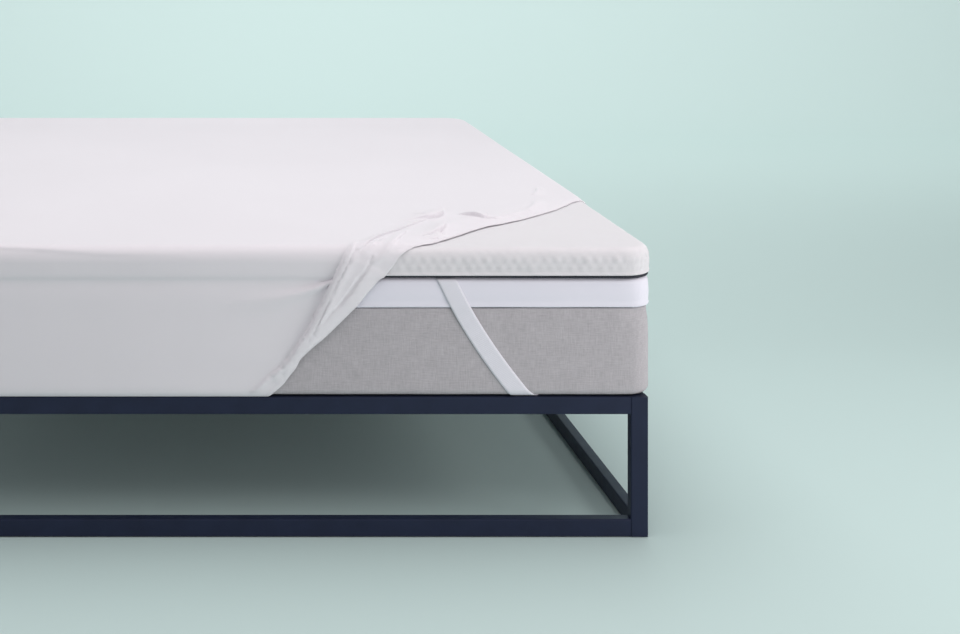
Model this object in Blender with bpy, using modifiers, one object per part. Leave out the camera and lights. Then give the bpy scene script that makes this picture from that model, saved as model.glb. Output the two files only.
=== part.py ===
"""Waterproof mattress protector, half pulled off a bed: protector, topper with its corner strap,
mattress and metal frame. Metres. X runs across the bed, Y from the foot (-) to the head (+)
and Z up, with the floor at 0 and the bed's middle at X = Y = 0."""

import math

import bmesh
import bpy
from mathutils import Vector

# Metal frame of rectangular tube, standing on thin pads.
FRAME_WIDTH = 1.770
FRAME_LENGTH = 2.000
FRAME_TOP = 0.300
TUBE_FACE = 0.037
TUBE_DEPTH = 0.025
TUBE_EDGE = 0.0025
PAD_HEIGHT = 0.0015
PAD_MARGIN = 0.004
CROSS_BARS = 7
CROSS_BAR_WIDTH = 0.030
CROSS_BAR_HEIGHT = 0.020
WELD_GAP = 0.0003

# Mattress: grey lower part and a white quilt cap above its seam.
MATTRESS_HALF_X = 0.900
MATTRESS_HALF_Y = 1.000
MATTRESS_BOTTOM = 0.3025
MATTRESS_SEAM = 0.4905
MATTRESS_TOP = 0.5525
MATTRESS_CORNER = 0.055
MATTRESS_TOP_ROUND = 0.025
MATTRESS_BOTTOM_ROUND = 0.024
CAP_PROUD = 0.001

# Topper: foam pad on a dark sheet that grips the mattress.
TOPPER_HALF_X = 0.905
TOPPER_HALF_Y = 1.005
TOPPER_TOP = 0.6185
TOPPER_CORNER = 0.072
TOPPER_TOP_ROUND = 0.025
TOPPER_BOTTOM_ROUND = 0.010
GRIP_THICK = 0.003
GRIP_INSET = 0.008
PIECE_GAP = 0.0003

# Elastic strap round the mattress corner, sewn under the topper's edge.
STRAP_WIDTH = 0.038
STRAP_THICK = 0.0010
STRAP_TOP_X = 0.448
STRAP_EDGE_X = 0.613
STRAP_BOW = 0.050
STRAP_ROWS = 56
STRAP_COLUMNS = 4
STRAP_UNDER = 0.0019
STRAP_SIDE = 0.0035
STRAP_TOP = (
    # how far out of the mattress side, how far below its top
    (-0.0120, 0.0010),
    (-0.0050, 0.0016),
    (0.0005, 0.0060),
    (0.0028, 0.0150),
    (0.0042, 0.0330),
    (0.0035, 0.0650),
)
STRAP_ARC_STEPS = 8
STRAP_REACH = 0.600
STRAP_TURN = 0.060
STRAP_SQUARE_ROWS = 4

# Protector: one sheet, sizes of its outer face.
CLOTH_THICK = 0.0015
CLOTH_HALF_X = 0.9085
CLOTH_HALF_Y = 1.0085
CLOTH_TOP = 0.6220
CLOTH_CORNER = 0.075
CLOTH_ROUND = 0.027
CLOTH_BOTTOM = 0.3006
CLOTH_BOTTOM_ROUND = 0.0235
CLOTH_TUCK = 0.040
# Below the topper the fitted corners follow the mattress, which is less rounded in plan.
LOW_CORNER = 0.0585
LOW_CORNER_FROM = (0.585, 0.545)
HEM_LINE = 0.515
FOLD_ZONE = 0.180
BAND_ZONE = 0.110
TOP_CELL = 0.0190
BAND_CELL = 0.0150
REFINE_PASSES = 4
INNER_STEPS_X = 7
INNER_STEPS_Y = 8
TOP_STEPS = 3
EDGE_ARC_STEPS = 3
LOW_FADE = (0.304, 0.350)

# How far the hanging side stands in from the outline, by height: it dips at the gap under the topper.
WAIST = (
    # height, inset
    (0.5950, 0.0000),
    (0.5670, 0.0003),
    (0.5610, 0.0024),
    (0.5550, 0.0055),
    (0.5450, 0.0048),
    (0.5180, 0.0028),
    (0.4800, 0.0040),
    (0.3241, 0.0040),
)

BRIDGE_LIFT = 0.008

# The hem runs straight across the flat cloth's corner. This is how far it wanders off that line.
HEM_WANDER = (
    # distance up from the near edge, outward shift
    (-0.340, -0.006),
    (-0.306, -0.008),
    (-0.260, -0.010),
    (-0.236, -0.019),
    (-0.179, -0.010),
    (-0.128, -0.010),
    (-0.100, -0.017),
    (-0.068, -0.020),
    (-0.027, -0.022),
    (0.021, -0.012),
    (0.057, -0.007),
    (0.114, -0.003),
    (0.153, -0.013),
    (0.238, -0.010),
    (0.321, 0.000),
    (0.415, 0.003),
    (0.492, -0.008),
    (0.600, 0.004),
    (0.700, 0.012),
    (0.820, 0.016),
)

# Folds by their middle line. Across is measured from a line parallel to Y, along is the distance in from
# the near edge, or, where negative, down the side.
ACROSS_FROM_X = 0.150
FOLDS = (
    # fold, across, along, height, half width
    ("gathered band", -0.078, -0.305, 0.007, 0.011),
    ("gathered band", -0.014, -0.229, 0.013, 0.012),
    ("gathered band", 0.030, -0.172, 0.015, 0.018),
    ("gathered band", 0.066, -0.118, 0.016, 0.026),
    ("gathered band", 0.106, -0.066, 0.015, 0.036),
    ("gathered band", 0.150, -0.015, 0.014, 0.042),
    ("gathered band", 0.200, 0.060, 0.012, 0.036),
    ("gathered band", 0.270, 0.115, 0.010, 0.030),
    ("hem roll", 0.280, 0.100, 0.009, 0.024),
    ("hem roll", 0.362, 0.180, 0.010, 0.026),
    ("hem roll", 0.452, 0.262, 0.009, 0.024),
    ("hem roll", 0.545, 0.338, 0.010, 0.022),
    ("hem roll", 0.640, 0.430, 0.009, 0.022),
    ("hem roll", 0.700, 0.500, 0.009, 0.024),
    ("outer crease", 0.144, -0.023, -0.008, 0.011),
    ("outer crease", 0.102, -0.087, -0.008, 0.010),
    ("outer crease", 0.050, -0.150, -0.006, 0.009),
    ("outer crease", -0.004, -0.215, -0.003, 0.008),
    ("inner crease", 0.099, -0.028, -0.007, 0.010),
    ("inner crease", 0.067, -0.092, -0.007, 0.009),
    ("inner crease", 0.026, -0.165, -0.005, 0.008),
    ("shoulder crease", 0.124, 0.010, -0.008, 0.009),
    ("shoulder crease", 0.204, 0.142, -0.006, 0.010),
    ("shoulder crease", 0.290, 0.268, -0.004, 0.012),
    ("top fold", 0.255, 0.215, 0.004, 0.022),
    ("top fold", 0.325, 0.330, 0.005, 0.020),
    ("pinch", 0.281, 0.100, -0.007, 0.010),
    ("pinch", 0.326, 0.190, -0.006, 0.010),
    ("leaf fold", 0.385, 0.335, 0.007, 0.018),
    ("leaf fold", 0.470, 0.375, 0.006, 0.018),
    ("leaf fold", 0.560, 0.430, 0.006, 0.018),
    ("leaf valley", 0.425, 0.300, -0.006, 0.010),
    ("leaf valley", 0.500, 0.322, -0.005, 0.009),
    ("leaf valley", 0.555, 0.372, -0.004, 0.009),
    ("leaf valley", 0.608, 0.458, -0.003, 0.010),
    ("draw ridge", 0.050, -0.082, 0.004, 0.012),
    ("draw ridge", -0.028, -0.106, 0.003, 0.016),
)
# Folds of the near side that are repeated on the right side of the bed.
TURNED_FOLDS = ("gathered band", "outer crease", "inner crease", "shoulder crease", "draw ridge")

# Soft gathers of the elastic at the corners that are still fitted.
GATHER_HEIGHT = 0.003
GATHER_WAVES = 9
GATHER_FROM = 0.500


def fresh_collection(name):
    """An empty collection in the scene."""
    made = bpy.data.collections.new(name)
    bpy.context.scene.collection.children.link(made)
    return made


def paint(name, colour, roughness, metallic=0.0):
    """A plain surface."""
    made = bpy.data.materials.new(name)
    made.use_nodes = True
    shader = made.node_tree.nodes["Principled BSDF"]
    shader.inputs["Base Color"].default_value = (*colour, 1.0)
    shader.inputs["Roughness"].default_value = roughness
    shader.inputs["Metallic"].default_value = metallic
    return made


def add_piece(name, mesh_data, material, place=(0.0, 0.0, 0.0), smooth_degrees=None):
    """Turns the bmesh into an object of the bed."""
    mesh = bpy.data.meshes.new(name)
    mesh_data.to_mesh(mesh)
    mesh_data.free()
    made = bpy.data.objects.new(name, mesh)
    made.location = place
    mesh.materials.append(material)
    if smooth_degrees:
        mesh.shade_smooth()
        mesh.set_sharp_from_angle(angle=math.radians(smooth_degrees))
    bed.objects.link(made)
    return made


def block(size):
    """A block of the given size about its own middle."""
    made = bmesh.new()
    bmesh.ops.create_cube(made, size=1.0)
    bmesh.ops.scale(made, vec=Vector(size), verts=made.verts)
    return made


def bevel_edges(solid, edges, radius, segments):
    bmesh.ops.bevel(
        solid, geom=edges, offset=radius, segments=segments, profile=0.5, affect="EDGES", material=-1
    )


def bar(name, size, place, along):
    """A length of tube with its four long edges rounded."""
    made = block(size)
    long_edges = [
        e for e in made.edges if abs((e.verts[0].co - e.verts[1].co).normalized()[along]) > 0.99
    ]
    bevel_edges(made, long_edges, TUBE_EDGE, 2)
    return add_piece(name, made, frame_paint, place, 40.0)


def soft_block(name, half_x, half_y, low, high, corner, rounds, material):
    """A soft block: rounded corners in plan, then rounded lower and upper edges."""
    made = block((2 * half_x, 2 * half_y, high - low))
    upright = [e for e in made.edges if abs(e.verts[0].co.z - e.verts[1].co.z) > 0.001]
    bevel_edges(made, upright, corner, 7)
    half_height = (high - low) / 2
    for level, radius in ((-half_height, rounds[0]), (half_height, rounds[1])):
        if radius:
            rim = [e for e in made.edges if all(abs(v.co.z - level) < 1e-5 for v in e.verts)]
            bevel_edges(made, rim, radius, 4)
    return add_piece(name, made, material, (0.0, 0.0, (high + low) / 2), 35.0)


def arc(middle, radius, start, end, steps):
    """Points of an arc in the (out, height) plane, degrees."""
    turn = [math.radians(start + (end - start) * k / steps) for k in range(steps + 1)]
    return [(middle[0] + radius * math.cos(a), middle[1] + radius * math.sin(a)) for a in turn]


def walk(section, distance):
    """The point and the outward normal at a distance along a section."""
    for (a, b), (c, d) in zip(section, section[1:]):
        step = math.hypot(c - a, d - b)
        if distance <= step or (c, d) == section[-1]:
            share = distance / step
            return a + (c - a) * share, b + (d - b) * share, -(d - b) / step, (c - a) / step
        distance -= step
    return None


def distances(section):
    """How far along the section each of its points is."""
    out = [0.0]
    for (a, b), (c, d) in zip(section, section[1:]):
        out.append(out[-1] + math.hypot(c - a, d - b))
    return out


def table_value(table, key):
    """Straight-line reading of a two-column table, whichever way its first column runs."""
    rows = sorted(table)
    if key <= rows[0][0]:
        return rows[0][1]
    for (a, low), (b, high) in zip(rows, rows[1:]):
        if key <= b:
            return low + (high - low) * (key - a) / (b - a)
    return rows[-1][1]


def cloth_section(arc_steps):
    """The protector from the flat top over the edge, down the side and under the mattress."""
    flat = CLOTH_CORNER - CLOTH_ROUND
    side = [(CLOTH_CORNER - inset, height) for height, inset in WAIST]
    low_middle = (side[-1][0] - CLOTH_BOTTOM_ROUND, CLOTH_BOTTOM + CLOTH_BOTTOM_ROUND)
    points = [(0.0, CLOTH_TOP)]
    points += arc((flat, CLOTH_TOP - CLOTH_ROUND), CLOTH_ROUND, 90, 0, arc_steps)
    points += side[1:-1]
    points += arc(low_middle, CLOTH_BOTTOM_ROUND, 0, -90, arc_steps)
    points.append((low_middle[0] - CLOTH_TUCK, CLOTH_BOTTOM))
    return points


def flat_along(along):
    """Distance in from the near edge, or down its side, to the flat cloth's own y."""
    if along >= CLOTH_ROUND:
        return along - CLOTH_HALF_Y
    quarter = math.pi * CLOTH_ROUND / 2
    if along > -CLOTH_ROUND:
        share = (CLOTH_ROUND - along) / (2 * CLOTH_ROUND)
        return CLOTH_ROUND - quarter * share - CLOTH_HALF_Y
    return CLOTH_ROUND - quarter - (-along - CLOTH_ROUND) - CLOTH_HALF_Y


def corner_distances(x, y):
    """Distances in from the right edge and from the near edge on the flat cloth."""
    return CLOTH_HALF_X - x, CLOTH_HALF_Y + y


def turned(x, y):
    """The same place on the other side of the pulled-off corner."""
    from_right, from_near = corner_distances(x, y)
    return CLOTH_HALF_X - from_near, from_right - CLOTH_HALF_Y


def fold_lines():
    """Every fold as its rows in flat cloth coordinates, the turned copies too."""
    lines = {}
    for name, across, along, height, half_width in FOLDS:
        x, y = ACROSS_FROM_X + across, flat_along(along)
        lines.setdefault(name, []).append((x, y, height, half_width))
        if name in TURNED_FOLDS:
            lines.setdefault("turned " + name, []).append((*turned(x, y), height, half_width))
    return list(lines.values())


def fold_lift(x, y, lines):
    """How far the folds raise the cloth off what it lies on."""
    total = 0.0
    for rows in lines:
        best = None
        for (ax, ay, ah, aw), (bx, by, bh, bw) in zip(rows, rows[1:]):
            length = (bx - ax) ** 2 + (by - ay) ** 2
            share = ((x - ax) * (bx - ax) + (y - ay) * (by - ay)) / length
            share = min(1.0, max(0.0, share))
            away = math.hypot(x - ax - share * (bx - ax), y - ay - share * (by - ay))
            width = aw + (bw - aw) * share
            if best is None or away / width < best[0]:
                best = (away / width, ah + (bh - ah) * share)
        if best[0] < 3.0:
            total += best[1] * math.exp(-best[0] ** 2)
    return max(0.0, total)


def corner_reach(turn, height):
    """How much farther the cloth stands out at a fitted corner where the mattress fills it more."""
    side = CLOTH_CORNER - WAIST[-1][1]
    shift = side - LOW_CORNER
    both = math.cos(turn) + math.sin(turn)
    reach = side / max(math.cos(turn), math.sin(turn))
    if reach * min(math.cos(turn), math.sin(turn)) > shift:
        reach = shift * both + math.sqrt((shift * both) ** 2 - 2 * shift**2 + LOW_CORNER**2)
    start, end = LOW_CORNER_FROM
    share = min(1.0, max(0.0, (start - height) / (start - end)))
    return 1.0 + share * (reach / side - 1.0)


def wrap(x, y, section, lines):
    """Lays a point of the flat cloth over the bed."""
    core_x = CLOTH_HALF_X - CLOTH_CORNER
    core_y = CLOTH_HALF_Y - CLOTH_CORNER
    over_x = max(0.0, abs(x) - core_x)
    over_y = max(0.0, abs(y) - core_y)
    sign_x = math.copysign(1.0, x)
    sign_y = math.copysign(1.0, y)
    beyond = max(over_x, over_y)
    lift = fold_lift(x, y, lines)
    if beyond == 0.0:
        return Vector((x, y, CLOTH_TOP + lift))
    out, height, normal_out, normal_up = walk(section, beyond)
    low, high = LOW_FADE
    lift *= min(1.0, max(0.0, (height - low) / (high - low)))
    if WAIST[-1][0] <= height <= WAIST[0][0]:
        # a fold stands straight out from the side and bridges the gap under the topper
        normal_out, normal_up = 1.0, 0.0
        out += (CLOTH_CORNER - out) * min(1.0, lift / BRIDGE_LIFT)
    if over_x and over_y:
        share = min(over_x, over_y) / beyond
        turn = math.pi / 4 * share if over_x >= over_y else math.pi / 2 - math.pi / 4 * share
        gather = min(1.0, max(0.0, (GATHER_FROM - height) / (GATHER_FROM - CLOTH_BOTTOM)))
        lift += GATHER_HEIGHT * gather * max(0.0, normal_out) * math.sin(GATHER_WAVES * 2 * turn) ** 2
        heading = (sign_x * math.cos(turn), sign_y * math.sin(turn))
        start = (sign_x * core_x, sign_y * core_y)
        out *= corner_reach(turn, height)
    elif over_x:
        heading = (sign_x, 0.0)
        start = (sign_x * core_x, y)
    else:
        heading = (0.0, sign_y)
        start = (x, sign_y * core_y)
    reach = out + normal_out * lift
    return Vector((start[0] + heading[0] * reach, start[1] + heading[1] * reach, height + normal_up * lift))


def grid_stops(half, inner_steps, section_stops):
    """Where the flat cloth's grid lines cross one axis."""
    core = half - CLOTH_CORNER
    outer = [core + d for d in section_stops]
    inner = [-core + 2 * core * k / inner_steps for k in range(1, inner_steps)]
    return [-d for d in reversed(outer)] + inner + outer


def fold_cells(point):
    """How far in from the hem the cloth has small cells, and their size: finest in the two bands."""
    from_right, from_near = corner_distances(point.x, point.y)
    if min(from_right, from_near) < CLOTH_ROUND:
        return BAND_ZONE, BAND_CELL
    return FOLD_ZONE, TOP_CELL


def build_protector(material):
    """One sheet: a flat grid cut along the hem, laid over the bed with its folds, then thickened."""
    coarse = distances(cloth_section(EDGE_ARC_STEPS))
    coarse[1:1] = [coarse[1] * k / TOP_STEPS for k in range(1, TOP_STEPS)]
    fine = cloth_section(12)
    stops_x = grid_stops(CLOTH_HALF_X, INNER_STEPS_X, coarse)
    stops_y = grid_stops(CLOTH_HALF_Y, INNER_STEPS_Y, coarse)
    cloth = bmesh.new()
    bmesh.ops.create_grid(
        cloth, x_segments=len(stops_x) - 1, y_segments=len(stops_y) - 1, size=1.0
    )
    for v in cloth.verts:
        column = round((v.co.x + 1) / 2 * (len(stops_x) - 1))
        row = round((v.co.y + 1) / 2 * (len(stops_y) - 1))
        v.co = Vector((stops_x[column], stops_y[row], 0.0))

    # The near right corner is off: everything past the straight hem line goes.
    hem_point = Vector((CLOTH_HALF_X - HEM_LINE, -CLOTH_HALF_Y, 0.0))
    hem_normal = Vector((1.0, -1.0, 0.0)).normalized()
    bmesh.ops.bisect_plane(
        cloth,
        geom=cloth.verts[:] + cloth.edges[:] + cloth.faces[:],
        plane_co=hem_point,
        plane_no=hem_normal,
        clear_outer=True,
    )

    # Smaller cells where the folds are.
    for _ in range(REFINE_PASSES):
        split = []
        for e in cloth.edges:
            middle = (e.verts[0].co + e.verts[1].co) / 2
            inward = -(middle - hem_point).dot(hem_normal)
            zone, cell = fold_cells(middle)
            if inward < zone and e.calc_length() > cell:
                split.append(e)
        bmesh.ops.subdivide_edges(cloth, edges=split, cuts=1, use_grid_fill=True)
    bmesh.ops.triangulate(cloth, faces=[f for f in cloth.faces if len(f.verts) > 4])

    # The hem wanders a little, and the cloth beside it goes along.
    for v in cloth.verts:
        inward = -(v.co - hem_point).dot(hem_normal)
        shift = -table_value(HEM_WANDER, CLOTH_HALF_Y + v.co.y)
        v.co -= hem_normal * shift * max(0.0, 1.0 - inward / FOLD_ZONE)

    lines = fold_lines()
    for v in cloth.verts:
        v.co = wrap(v.co.x, v.co.y, fine, lines)
    bmesh.ops.recalc_face_normals(cloth, faces=cloth.faces)
    top_face = max(cloth.faces, key=lambda f: f.calc_area())
    if top_face.normal.z < 0.0:
        bmesh.ops.reverse_faces(cloth, faces=cloth.faces)
    made = add_piece("protector", cloth, material, smooth_degrees=60.0)
    thick = made.modifiers.new("cloth thickness", "SOLIDIFY")
    thick.thickness = CLOTH_THICK
    thick.offset = -1.0
    return made


def strap_section():
    """The strap's outer face from the topper's edge, down the mattress side and in under it."""
    middle = (-MATTRESS_BOTTOM_ROUND, MATTRESS_BOTTOM + MATTRESS_BOTTOM_ROUND)
    wide = MATTRESS_BOTTOM_ROUND + STRAP_SIDE
    deep = MATTRESS_BOTTOM_ROUND + STRAP_UNDER
    points = [(out, MATTRESS_TOP - drop) for out, drop in STRAP_TOP]
    for out, height in arc((0.0, 0.0), 1.0, 0, -90, STRAP_ARC_STEPS):
        points.append((middle[0] + wide * out, middle[1] + deep * height))
    points.append((-STRAP_REACH, middle[1] - deep))
    return points


def build_strap(material):
    """The elastic from the topper's near edge, down and under the mattress corner, up its right side."""
    section = strap_section()
    edge_run = distances(section)[len(STRAP_TOP) + STRAP_ARC_STEPS // 2]
    under_run = (MATTRESS_HALF_X - STRAP_EDGE_X + walk(section, edge_run)[0]) / 2
    strap = bmesh.new()
    bmesh.ops.create_grid(strap, x_segments=STRAP_COLUMNS, y_segments=2 * STRAP_ROWS, size=1.0)
    for v in strap.verts:
        row = round((v.co.y + 1) * STRAP_ROWS)
        near_row = min(row, 2 * STRAP_ROWS - row)
        run = (edge_run + under_run) * near_row / STRAP_ROWS
        share = min(1.0, run / edge_run)
        slope = (STRAP_EDGE_X - STRAP_TOP_X - STRAP_BOW * (1 - 2 * share)) / edge_run
        x = STRAP_TOP_X + (STRAP_EDGE_X - STRAP_TOP_X) * share - STRAP_BOW * share * (1 - share)
        x += max(0.0, run - edge_run)
        bend = min(1.0, max(0.0, (run - edge_run + STRAP_TURN) / STRAP_TURN))
        turn = math.atan(slope) * (1 - bend) + math.pi / 4 * bend
        lateral = v.co.x * STRAP_WIDTH / 2
        slant = min(1.0, near_row / STRAP_SQUARE_ROWS)
        x += lateral * (math.cos(turn) * slant + (1 - slant) / math.cos(turn))
        out, height, _, _ = walk(section, max(0.0, run - lateral * math.sin(turn) * slant))
        y = -MATTRESS_HALF_Y - out
        if row > STRAP_ROWS:
            offset = MATTRESS_HALF_X - MATTRESS_HALF_Y
            x, y = offset - y, offset - x
        v.co = Vector((x, y, height))
    lowest = min(strap.faces, key=lambda f: f.calc_center_median().z)
    bmesh.ops.recalc_face_normals(strap, faces=strap.faces)
    if lowest.normal.z > 0.0:
        bmesh.ops.reverse_faces(strap, faces=strap.faces)
    made = add_piece("corner_strap", strap, material, smooth_degrees=60.0)
    thick = made.modifiers.new("strap thickness", "SOLIDIFY")
    thick.thickness = STRAP_THICK
    thick.offset = -1.0
    return made


def build_frame():
    """Corner legs at full height, rails welded between them and bars across to carry the mattress."""
    half_x = FRAME_WIDTH / 2
    half_y = FRAME_LENGTH / 2
    leg_low = PAD_HEIGHT + WELD_GAP
    leg_height = FRAME_TOP - leg_low
    for side_name, side in (("left", -1), ("right", 1)):
        for end_name, end in (("foot", -1), ("head", 1)):
            x = side * (half_x - TUBE_FACE / 2)
            y = end * (half_y - TUBE_DEPTH / 2)
            bar(
                f"leg_{end_name}_{side_name}",
                (TUBE_FACE, TUBE_DEPTH, leg_height),
                (x, y, leg_low + leg_height / 2),
                2,
            )
            pad = block((TUBE_FACE - 2 * PAD_MARGIN, TUBE_DEPTH - 2 * PAD_MARGIN, PAD_HEIGHT))
            add_piece(f"pad_{end_name}_{side_name}", pad, pad_rubber, (x, y, PAD_HEIGHT / 2))
    cross_length = FRAME_WIDTH - 2 * TUBE_FACE - 2 * WELD_GAP
    side_length = FRAME_LENGTH - 2 * TUBE_DEPTH - 2 * WELD_GAP
    levels = (("top", FRAME_TOP - TUBE_FACE / 2), ("low", leg_low + TUBE_FACE / 2))
    for level_name, level in levels:
        for end_name, end in (("foot", -1), ("head", 1)):
            y = end * (half_y - TUBE_DEPTH / 2)
            bar(f"rail_{level_name}_{end_name}", (cross_length, TUBE_DEPTH, TUBE_FACE), (0.0, y, level), 0)
        for side_name, side in (("left", -1), ("right", 1)):
            x = side * (half_x - TUBE_DEPTH / 2)
            bar(f"rail_{level_name}_{side_name}", (TUBE_DEPTH, side_length, TUBE_FACE), (x, 0.0, level), 1)
    bar_length = FRAME_WIDTH - 2 * TUBE_DEPTH - 2 * WELD_GAP
    for k in range(CROSS_BARS):
        y = (k + 1) / (CROSS_BARS + 1) * FRAME_LENGTH - half_y
        level = FRAME_TOP - CROSS_BAR_HEIGHT / 2
        size = (bar_length, CROSS_BAR_WIDTH, CROSS_BAR_HEIGHT)
        bar(f"cross_bar_{k + 1}", size, (0.0, y, level), 0)


for old in list(bpy.data.objects):
    bpy.data.objects.remove(old)
bed = fresh_collection("mattress_protector_on_bed")
frame_paint = paint("frame_navy", (0.018, 0.026, 0.050), 0.45)
pad_rubber = paint("pad_rubber", (0.020, 0.020, 0.022), 0.85)
grey_fabric = paint("grey_fabric", (0.370, 0.366, 0.380), 0.95)
cap_fabric = paint("cap_fabric", (0.660, 0.670, 0.740), 0.90)
topper_fabric = paint("topper_fabric", (0.790, 0.780, 0.770), 0.92)
grip_fabric = paint("grip_fabric", (0.012, 0.014, 0.030), 0.80)
strap_elastic = paint("strap_elastic", (0.660, 0.680, 0.740), 0.80)
protector_cloth = paint("protector_cloth", (0.810, 0.810, 0.840), 0.88)

build_frame()
soft_block(
    "mattress_base",
    MATTRESS_HALF_X,
    MATTRESS_HALF_Y,
    MATTRESS_BOTTOM,
    MATTRESS_SEAM,
    MATTRESS_CORNER,
    (MATTRESS_BOTTOM_ROUND, 0.0),
    grey_fabric,
)
soft_block(
    "mattress_cap",
    MATTRESS_HALF_X + CAP_PROUD,
    MATTRESS_HALF_Y + CAP_PROUD,
    MATTRESS_SEAM + PIECE_GAP,
    MATTRESS_TOP,
    MATTRESS_CORNER,
    (0.0, MATTRESS_TOP_ROUND),
    cap_fabric,
)
grip_low = MATTRESS_TOP + PIECE_GAP
grip_high = grip_low + GRIP_THICK
soft_block(
    "topper_grip_sheet",
    TOPPER_HALF_X - GRIP_INSET,
    TOPPER_HALF_Y - GRIP_INSET,
    grip_low,
    grip_high,
    TOPPER_CORNER - GRIP_INSET,
    (0.0, 0.0),
    grip_fabric,
)
soft_block(
    "topper_pad",
    TOPPER_HALF_X,
    TOPPER_HALF_Y,
    grip_high + PIECE_GAP,
    TOPPER_TOP,
    TOPPER_CORNER,
    (TOPPER_BOTTOM_ROUND, TOPPER_TOP_ROUND),
    topper_fabric,
)
build_strap(strap_elastic)
build_protector(protector_cloth)
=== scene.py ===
import math

import bmesh
import bpy
import numpy as np
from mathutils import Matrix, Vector, noise


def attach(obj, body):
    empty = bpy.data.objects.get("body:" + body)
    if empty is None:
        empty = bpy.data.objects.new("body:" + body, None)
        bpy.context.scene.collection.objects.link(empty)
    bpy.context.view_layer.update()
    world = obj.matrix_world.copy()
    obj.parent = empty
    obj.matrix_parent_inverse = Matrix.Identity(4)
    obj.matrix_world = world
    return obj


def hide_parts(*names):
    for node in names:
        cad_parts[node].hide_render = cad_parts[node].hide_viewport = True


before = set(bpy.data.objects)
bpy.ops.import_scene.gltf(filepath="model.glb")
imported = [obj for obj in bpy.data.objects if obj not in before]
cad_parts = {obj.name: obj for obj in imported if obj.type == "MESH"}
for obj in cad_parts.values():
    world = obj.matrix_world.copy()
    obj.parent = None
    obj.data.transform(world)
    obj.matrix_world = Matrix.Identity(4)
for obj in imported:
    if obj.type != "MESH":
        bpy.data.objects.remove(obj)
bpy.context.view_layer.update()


# Camera: level, looking along +Y at the foot of the bed, with the frame shifted down and right.
cameraSetup = dict(
    place=(-0.098, -3.830, 1.287),
    lens=49.65,
    sensor=36.0,
    shiftX=0.3036,
    shiftY=-0.3974,
)


def makeCamera():
    data = bpy.data.cameras.new("camera")
    data.lens = cameraSetup["lens"]
    data.sensor_width = cameraSetup["sensor"]
    data.shift_x = cameraSetup["shiftX"]
    data.shift_y = cameraSetup["shiftY"]
    camera = bpy.data.objects.new("camera", data)
    camera.location = cameraSetup["place"]
    camera.rotation_euler = (math.radians(90), 0, 0)
    bpy.context.collection.objects.link(camera)
    bpy.context.scene.camera = camera


# Studio: a pale floor that rises into a backdrop, a soft sky and large soft lamps.
studio = dict(
    viewTransform="Standard",
    floorColor=(0.542, 0.684, 0.664),
    floorRoughness=0.9,
    cloudScale=0.25,
    cloudShade=0.98,
    floorFront=-7.0,
    floorBack=4.5,
    sweepRadius=2.5,
    sweepSteps=24,
    wallHeight=8.0,
    halfWidth=14.0,
    skyColor=(0.95, 0.90, 0.93),
    skyStrength=0.42,
    lamps=(  # name, place, aim, size, power and color
        ("overhead", (0.0, 0.2, 4.2), (0.0, 0.2, 0.5), (4.0, 4.0), 95, (1.0, 0.99, 0.99)),
        ("frontTop", (0.6, -3.2, 3.6), (0.1, -0.8, 0.4), (3.0, 2.0), 30, (1.0, 0.98, 0.98)),
        ("frontRight", (3.0, -2.5, 0.42), (0.3, -1.0, 0.42), (2.4, 0.5), 29, (1.0, 0.92, 0.93)),
        ("sideRight", (3.8, -2.0, 2.0), (0.6, -0.7, 0.1), (1.6, 1.0), 24, (1.0, 0.98, 0.97)),
        ("backWash", (1.8, 3.0, 4.6), (1.8, 7.2, 2.2), (14.0, 1.2), 325, (1.0, 0.98, 0.98)),
    ),
)


def makeStudio():
    path = [(studio["floorFront"], 0.0), (studio["floorBack"], 0.0)]
    radius = studio["sweepRadius"]
    for k in range(1, studio["sweepSteps"] + 1):
        turn = math.pi / 2 * k / studio["sweepSteps"]
        path.append((studio["floorBack"] + radius * math.sin(turn), radius * (1 - math.cos(turn))))
    path.append((path[-1][0], studio["wallHeight"]))
    sweep = bmesh.new()
    rail = [sweep.verts.new((-studio["halfWidth"], y, z)) for y, z in path]
    edges = [sweep.edges.new(pair) for pair in zip(rail, rail[1:])]
    made = bmesh.ops.extrude_edge_only(sweep, edges=edges)
    side = [v for v in made["geom"] if isinstance(v, bmesh.types.BMVert)]
    bmesh.ops.translate(sweep, vec=(2 * studio["halfWidth"], 0, 0), verts=side)
    bmesh.ops.recalc_face_normals(sweep, faces=sweep.faces)
    floor = finishPiece("studioFloor", sweep, floorPaint())
    bpy.context.scene.view_settings.view_transform = studio["viewTransform"]
    world = bpy.data.worlds.new("softSky")
    bpy.context.scene.world = world
    world.use_nodes = True
    sky = world.node_tree.nodes["Background"]
    sky.inputs["Color"].default_value = (*studio["skyColor"], 1)
    sky.inputs["Strength"].default_value = studio["skyStrength"]
    for name, place, aim, size, power, color in studio["lamps"]:
        data = bpy.data.lights.new(name, "AREA")
        data.shape = "RECTANGLE"
        data.size, data.size_y = size
        data.energy = power
        data.color = color
        light = bpy.data.objects.new(name, data)
        light.location = place
        light.visible_camera = False
        light.rotation_euler = (Vector(aim) - Vector(place)).to_track_quat("-Z", "Y").to_euler()
        bpy.context.collection.objects.link(light)


def finishPiece(name, mesh, material, sharpDegrees=None):
    data = bpy.data.meshes.new(name)
    mesh.to_mesh(data)
    mesh.free()
    data.materials.append(material)
    data.shade_smooth()
    if sharpDegrees:
        data.set_sharp_from_angle(angle=math.radians(sharpDegrees))
    made = bpy.data.objects.new(name, data)
    bpy.context.collection.objects.link(made)
    return made


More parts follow.
